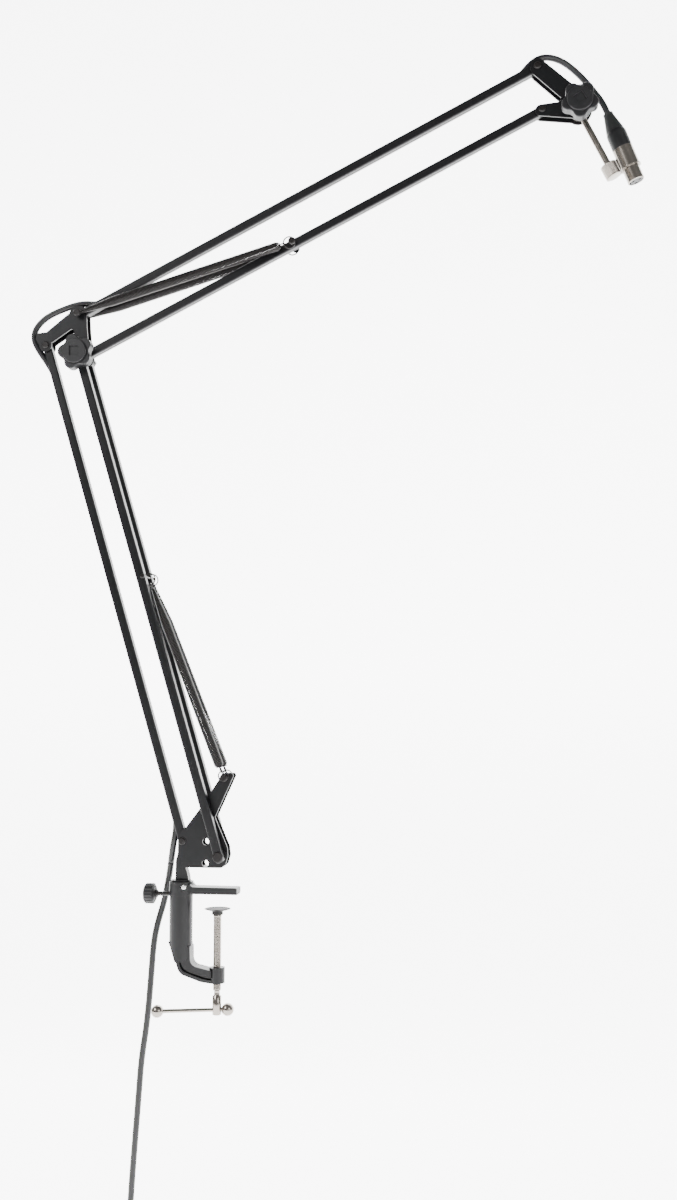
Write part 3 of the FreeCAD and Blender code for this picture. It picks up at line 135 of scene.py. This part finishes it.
def grid_faces(rows, columns, first=0):
    """Quads of a tube's grid of points, row after row, with both ends closed."""
    faces = []
    for row in range(rows - 1):
        for column in range(columns):
            here, beside = row * columns + column, row * columns + (column + 1) % columns
            faces.append((first + here, first + beside, first + beside + columns, first + here + columns))
    faces.append(tuple(first + column for column in reversed(range(columns))))
    faces.append(tuple(first + (rows - 1) * columns + column for column in range(columns)))
    return faces


def tube_points(path, radius, sides):
    """Rings of points round a path, each ring turned as little as can be from the one before."""
    path = [Vector(p) for p in path]
    points = []
    normal = None
    for number, place in enumerate(path):
        ahead = path[min(number + 1, len(path) - 1)] - path[max(number - 1, 0)]
        ahead.normalize()
        if normal is None:
            normal = ahead.orthogonal().normalized()
        normal = (normal - ahead * normal.dot(ahead)).normalized()
        other = ahead.cross(normal)
        for side in range(sides):
            turn = 2 * math.pi * side / sides
            points.append(place + (normal * math.cos(turn) + other * math.sin(turn)) * radius)
    return points


def tube(name, path, radius, slot, sides=14):
    return add_mesh(name, tube_points(path, radius, sides), grid_faces(len(path), sides), slot)


def smooth_line(controls, steps=8):
    """A clamped quadratic B-spline through the route's control points, as closely spaced points."""
    controls = [Vector(p) for p in controls]
    spans = len(controls) - 2
    knots = [0.0, 0.0] + [float(k) for k in range(spans + 1)] + [float(spans), float(spans)]
    line = []
    for step in range(spans * steps + 1):
        at = min(step / steps, spans - 1e-9)
        span = int(at) + 2
        work = [controls[span - 2 + i].copy() for i in range(3)]
        for level in (1, 2):
            for i in range(2, level - 1, -1):
                low, high = knots[span - 2 + i], knots[span + 1 + i - level]
                share = (at - low) / (high - low)
                work[i] = work[i - 1] * (1 - share) + work[i] * share
        line.append(work[2])
    return line


def mm(points):
    return [Vector(p) / 1000 for p in points]


# ------------------------------------------------------------------ places taken from the arm's geometry

def polar(length, degrees):
    turn = math.radians(degrees)
    return Vector((length * math.cos(turn), 0, length * math.sin(turn)))


LOWER_ANGLE, UPPER_ANGLE = 106.6, 26.1
LOWER_LENGTH, UPPER_LENGTH = 502, 500
PIVOT_STEP = Vector((-3.8, 0, 42.8))
ROD_ANGLE, ROD_LENGTH = 25.7, 60.0
REAR_FOOT = Vector((-33.3, 0, 48.5))
FRONT_FOOT = Vector((3.7, 0, 35.3))
ELBOW = FRONT_FOOT + polar(LOWER_LENGTH, LOWER_ANGLE)
BAR_FOOT = ELBOW + PIVOT_STEP
HEAD_LOW = ELBOW + polar(UPPER_LENGTH, UPPER_ANGLE)
ROD_PIVOT = HEAD_LOW + Vector((34.4, 0, -2.0))


def on_link(foot, angle, along, side=0.0):
    return foot + polar(along, angle) + polar(side, angle + 90)


# ------------------------------------------------------------------ springs

WIRE = 1.2
PLAY = 0.05
RING_WIRE = 0.6
LOWER_RING, PIN_RING = 4.6, 5.7


def wound_spring(name, start, end, eyes, eye_turn):
    """A close-wound tapered spring with a round eye at each end; an eye on a ring is a quarter turn round."""
    span = (end - start).length
    first, last = eyes
    low, high = 2 * first + WIRE / 2 - 0.2, span - 2 * last - WIRE / 2 + 0.2
    turns = int((high - low) / (WIRE * 1.04))
    heading = (end - start).normalized()
    beside = heading.cross(Vector((0, 1, 0))).normalized()
    to_world = Matrix((beside, heading.cross(beside), heading)).transposed()
    path = []
    per_turn = 16
    for step in range(turns * per_turn + 1):
        share = step / (turns * per_turn)
        z = low + (high - low) * share
        radius = 1.15 + 2.85 * min(1.0, (z - low) / 35)
        radius *= min(1.0, 0.62 + 0.38 * max(0.0, (high - z) / 2.6))
        turn = 2 * math.pi * step / per_turn
        path.append(Vector((radius * math.cos(turn), radius * math.sin(turn), z)))
    points = tube_points(path, WIRE / 2, 6)
    faces = grid_faces(len(path), 6)
    for centre_z, radius, quarter in ((first, first, eye_turn[0]), (span - last, last, eye_turn[1])):
        loop = []
        for i in range(29):
            turn = 2 * math.pi * i / 28
            out = radius * math.sin(turn)
            sideways, deep = (0, out) if quarter else (out, 0)
            loop.append(Vector((sideways, deep, centre_z + radius * math.cos(turn))))
        faces += grid_faces(len(loop), 8, len(points))
        points += tube_points(loop, WIRE / 2, 8)
    placed = [(start + to_world @ p) / 1000 for p in points]
    return add_mesh(name, placed, faces, "black_zinc")


pin = on_link(FRONT_FOOT, LOWER_ANGLE, 273.3, -2.6)
tab = FRONT_FOOT + Vector((3.4, 0, 72.4))
upper_ring = pin + Vector((3.38, 0, -2.24))
lower_ring = tab + (upper_ring - tab).normalized() * (LOWER_RING - RING_WIRE - 2.0 - PLAY)
axis = (lower_ring - upper_ring).normalized()
spring_top = upper_ring + axis * (PIN_RING - WIRE - PLAY)
spring_foot = lower_ring - axis * (LOWER_RING - WIRE - PLAY)
for side, label in ((-1, "near"), (1, "far")):
    coils = wound_spring(f"lower_spring_{label}", spring_top + Vector((0, side * 4.7, 0)),
                         spring_foot + Vector((0, side * 8.2, 0)), (2.8, 2.5), (True, True))
    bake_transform(coils)
    if side < 0:
        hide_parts("lower_springs")

bar_pin = on_link(ELBOW, UPPER_ANGLE, 234.1)
bar_ring = bar_pin + (BAR_FOOT - bar_pin).normalized() * (PIN_RING - RING_WIRE - 2.0 - PLAY)
axis = (bar_ring - BAR_FOOT).normalized()
eye = 2.65
start = BAR_FOOT - axis * eye
end = bar_ring - axis * (PIN_RING - WIRE - PLAY)
for side, label in ((-1, "near"), (1, "far")):
    coils = wound_spring(f"upper_spring_{label}", start + Vector((0, side * 9.2, 0)),
                         end + Vector((0, side * 9.2, 0)), (eye, 2.4), (False, True))
    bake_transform(coils)
    if side < 0:
        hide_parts("upper_springs")


# ------------------------------------------------------------------ threads

def threaded(name, profile, major, depth, pitch, low, high, slot, to_world, sides=40):
    """A turned piece along local Z with a thread from low to high; profile is (z, radius) outside it."""
    rows = [(z, r, False) for z, r in profile if z < low]
    count = int((high - low) / pitch * 6)
    rows += [(low + (high - low) * i / count, major, True) for i in range(count + 1)]
    rows += [(z, r, False) for z, r in profile if z > high]
    points = []
    for z, radius, cut in rows:
        for side in range(sides):
            turn = 2 * math.pi * side / sides
            size = radius
            if cut:
                phase = (z / pitch - side / sides) % 1.0
                fade = min(1.0, (z - low) / pitch, (high - z) / pitch)
                size = major - depth * fade * (1 - abs(2 * phase - 1)) ** 1.2
            points.append(to_world @ Vector((size * math.cos(turn), size * math.sin(turn), z)) / 1000)
    return add_mesh(name, points, grid_faces(len(rows), sides), slot)


screw = threaded(
    "screw_with_thread",
    [(-110.6, 3.4), (-110.1, 4.1), (-93.4, 4.1), (-92.5, 2.7), (-88.9, 2.7), (-87.6, 3.5),
     (-18.0, 3.0), (-17.2, 3.0)],
    3.9, 0.62, 1.25, -87.5, -20.1, "nickel", Matrix.Identity(3))
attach(screw, "clamp_screw")
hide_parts("clamp_screw")

rod_down = Matrix.Rotation(math.radians(-ROD_ANGLE), 3, "Y") @ Matrix.Rotation(math.pi, 3, "X")
stud_at = ROD_PIVOT + rod_down @ Vector((0, 0, ROD_LENGTH))


stud = threaded("stud_with_thread", [(0.0, 6.9), (0.3, 7.6), (13.4, 7.0), (13.6, 5.1)],
                7.94, 0.55, 0.94, 0.6, 13.1, "nickel", rod_down, 56)
stud.data.transform(Matrix.Translation(stud_at / 1000))
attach(stud, "mic_rod")
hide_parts("mic_stud")


# ------------------------------------------------------------------ cable

CABLE = 0.006
jack_start = Vector((371.6, 19.5, 738.7))
jack_aim = Vector((0.350, 0, -0.937)).normalized()

head_route = mm([
    on_link(BAR_FOOT, UPPER_ANGLE, 452), on_link(BAR_FOOT, UPPER_ANGLE, 470),
    (290.6, 0, 774.2), (298.0, 0, 783.2), (306.8, 1, 789.6), (317.0, 3.5, 791.2), (328.4, 7.5, 788.6),
    (338.5, 11.5, 782.4), (348.6, 15, 773.4), (357.8, 17.8, 762.4), jack_start - jack_aim * 12, jack_start,
])
head_line = smooth_line(head_route)
head_loop = tube("head_cable", head_line, CABLE / 2, "cable_jacket")
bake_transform(head_loop)
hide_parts("cable_head_loop")

elbow_route = mm([
    on_link(BAR_FOOT, UPPER_ANGLE, 48), on_link(BAR_FOOT, UPPER_ANGLE, 33),
    (-127.2, 0, 569.6), (-139.0, 0, 571.2), (-149.5, 0, 569.9), (-159.6, 0, 566.8), (-169.6, 0, 563.2),
    (-178.6, 0, 558.8), (-186.0, 0, 552.6), (-190.9, 0, 545.0), (-191.2, 0, 536.4), (-187.2, 0, 528.0),
    (-181.4, 0, 519.4), (-175.0, 0, 510.4),
    on_link(REAR_FOOT, LOWER_ANGLE, 466), on_link(REAR_FOOT, LOWER_ANGLE, 450),
])
elbow_line = smooth_line(elbow_route)
middle = len(elbow_line) // 2
upper_half, lower_half = elbow_line[:middle + 1], elbow_line[middle:]
upper_loop = tube("elbow_cable_upper", upper_half, CABLE / 2, "cable_jacket")
lower_loop = tube("elbow_cable_lower", lower_half, CABLE / 2, "cable_jacket")
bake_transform(upper_loop)
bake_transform(lower_loop)
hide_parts("cable_elbow_loop")

tail_joint = (-46.9, 6, 28.0)
top_route = mm([
    on_link(REAR_FOOT, LOWER_ANGLE, 46), on_link(REAR_FOOT, LOWER_ANGLE, 30),
    (-40.2, 0, 60.2), (-43.6, 0.4, 43.4), tail_joint,
])
top_line = smooth_line(top_route)
tail_top = tube("tail_cable_top", top_line, CABLE / 2, "cable_jacket")
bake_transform(tail_top)
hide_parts("cable_tail_top")

COIL = Vector((-87.0, 18.0, -349.0))
COIL_RADIUS, STRAND = 33.0, 6.95
HEXAGON = [(STRAND * math.cos(math.radians(a)), STRAND * math.sin(math.radians(a)))
           for a in range(0, 360, 60)]
PLACES = [HEXAGON[0], HEXAGON[5], HEXAGON[4], HEXAGON[3], (0.0, 0.0), HEXAGON[2], HEXAGON[1]]
FIRST_SHIFT, SHIFT_EVERY, SHIFT_OVER, COIL_TURNS, COIL_START = 0.95, 0.85, 0.13, 6 + 1 / 6, 120.0


def coil_place(turns):
    """Where the strand is in the bundle after so many turns: it steps from place to place."""
    radial, deep = PLACES[0]
    for number, (a, b) in enumerate(zip(PLACES, PLACES[1:])):
        share = (turns - (FIRST_SHIFT + number * SHIFT_EVERY)) / SHIFT_OVER + 0.5
        share = max(0.0, min(1.0, share))
        share = share * share * (3 - 2 * share)
        radial += (b[0] - a[0]) * share
        deep += (b[1] - a[1]) * share
    return radial, deep


coil_line = []
for step in range(int(COIL_TURNS * 90) + 1):
    turns = step / 90
    radial, deep = coil_place(turns)
    angle = math.radians(COIL_START + 360 * turns)
    size = COIL_RADIUS + radial
    coil_line.append(COIL + Vector((size * math.cos(angle), deep, size * math.sin(angle))))

tail_route = [
    tail_joint, (-48.88, 9.36, 18.76), (-52.4, 14.8, 6.6), (-56.4, 18, -10.3), (-62.4, 18, -29.5),
    (-66.5, 18, -48.3), (-69.0, 18, -86.6), (-72.1, 18, -124.8), (-77.2, 18, -158.2),
    (-79.3, 18, -190.5), (-82.6, 18, -236.4),
    (-85.0, 18, -272.0), (-86.0, 18, -292.0), (-88.0, 18, -305.0), (-95.5, 18, -309.8), tuple(coil_line[0]),
]
last = coil_line[-1]
plug_at = COIL + Vector((-COIL_RADIUS - 2.4, 0, -44.0))
exit_route = [last, last + Vector((0, 0.9, -8)), last + Vector((0, 1.6, -15)), last + Vector((0.2, 0.6, -23)),
              Vector((plug_at.x, plug_at.y + 2.0, last.z - 31)), Vector((plug_at.x, plug_at.y, last.z - 38)),
              plug_at + Vector((0, 0, -1.0))]
tail_line = smooth_line(mm(tail_route)) + mm(coil_line[1:]) + smooth_line(mm(exit_route))[1:]
tail = tube("tail_cable", tail_line, CABLE / 2, "cable_jacket", 12)
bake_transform(tail)
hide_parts("cable_tail", "cable_coil")


# ------------------------------------------------------------------ studio

def backdrop():
    """A pale sweep: floor, a rounded corner and a wall."""
    floor_z, wall_y, bend = -0.62, 2.4, 0.9
    line = [(-3.5, floor_z)]
    line += [(wall_y - bend + bend * math.sin(a), floor_z + bend - bend * math.cos(a))
             for a in (math.radians(d) for d in range(0, 91, 6))]
    line.append((wall_y, 4.5))
    points = [(x, y, z) for y, z in line for x in (-5.0, 5.0)]
    faces = [(2 * i, 2 * i + 1, 2 * i + 3, 2 * i + 2) for i in range(len(line) - 1)]
    data = bpy.data.meshes.new("sweep")
    data.from_pydata(points, [], faces)
    data.polygons.foreach_set("use_smooth", [True] * len(data.polygons))
    sweep = bpy.data.objects.new("sweep", data)
    bpy.context.scene.collection.objects.link(sweep)
    paper = finish_material("paper", (0.9, 0.9, 0.9), 0.9, grain=0.05)
    glow = paper.node_tree.nodes["Principled BSDF"].inputs
    glow["Emission Color"].default_value = (1, 1, 1, 1)
    glow["Emission Strength"].default_value = 5.5
    data.materials.append(paper)


def area_light(name, place, target, size, power):
    lamp = bpy.data.lights.new(name, "AREA")
    lamp.shape = "SQUARE"
    lamp.size = size
    lamp.energy = power
    thing = bpy.data.objects.new(name, lamp)
    thing.location = place
    thing.rotation_mode = "QUATERNION"
    thing.rotation_quaternion = (Vector(target) - Vector(place)).to_track_quat("-Z", "Y")
    bpy.context.scene.collection.objects.link(thing)


backdrop()
TARGET = (0.05, 0, 0.3)
area_light("key", (-1.6, -1.9, 1.9), TARGET, 1.0, 70)
area_light("fill", (2.0, -1.8, 0.9), TARGET, 1.2, 34)
area_light("rim", (0.4, 1.3, 2.2), TARGET, 1.0, 26)

world = bpy.data.worlds.new("studio")
bpy.context.scene.world = world
world.use_nodes = True
world.node_tree.nodes["Background"].inputs["Color"].default_value = (1, 1, 1, 1)
world.node_tree.nodes["Background"].inputs["Strength"].default_value = 0.4

camera = bpy.data.objects.new("camera", bpy.data.cameras.new("camera"))
bpy.context.scene.collection.objects.link(camera)
bpy.context.scene.camera = camera
camera.data.lens = 38.31
camera.data.sensor_width = 36
camera.location = (0.2908, -1.1824, 0.1709)
AZIMUTH, RISE = math.radians(8.498), math.radians(4.923)
gaze = Vector((-math.sin(AZIMUTH) * math.cos(RISE), math.cos(AZIMUTH) * math.cos(RISE), math.sin(RISE)))
camera.rotation_mode = "QUATERNION"
camera.rotation_quaternion = gaze.to_track_quat("-Z", "Y")
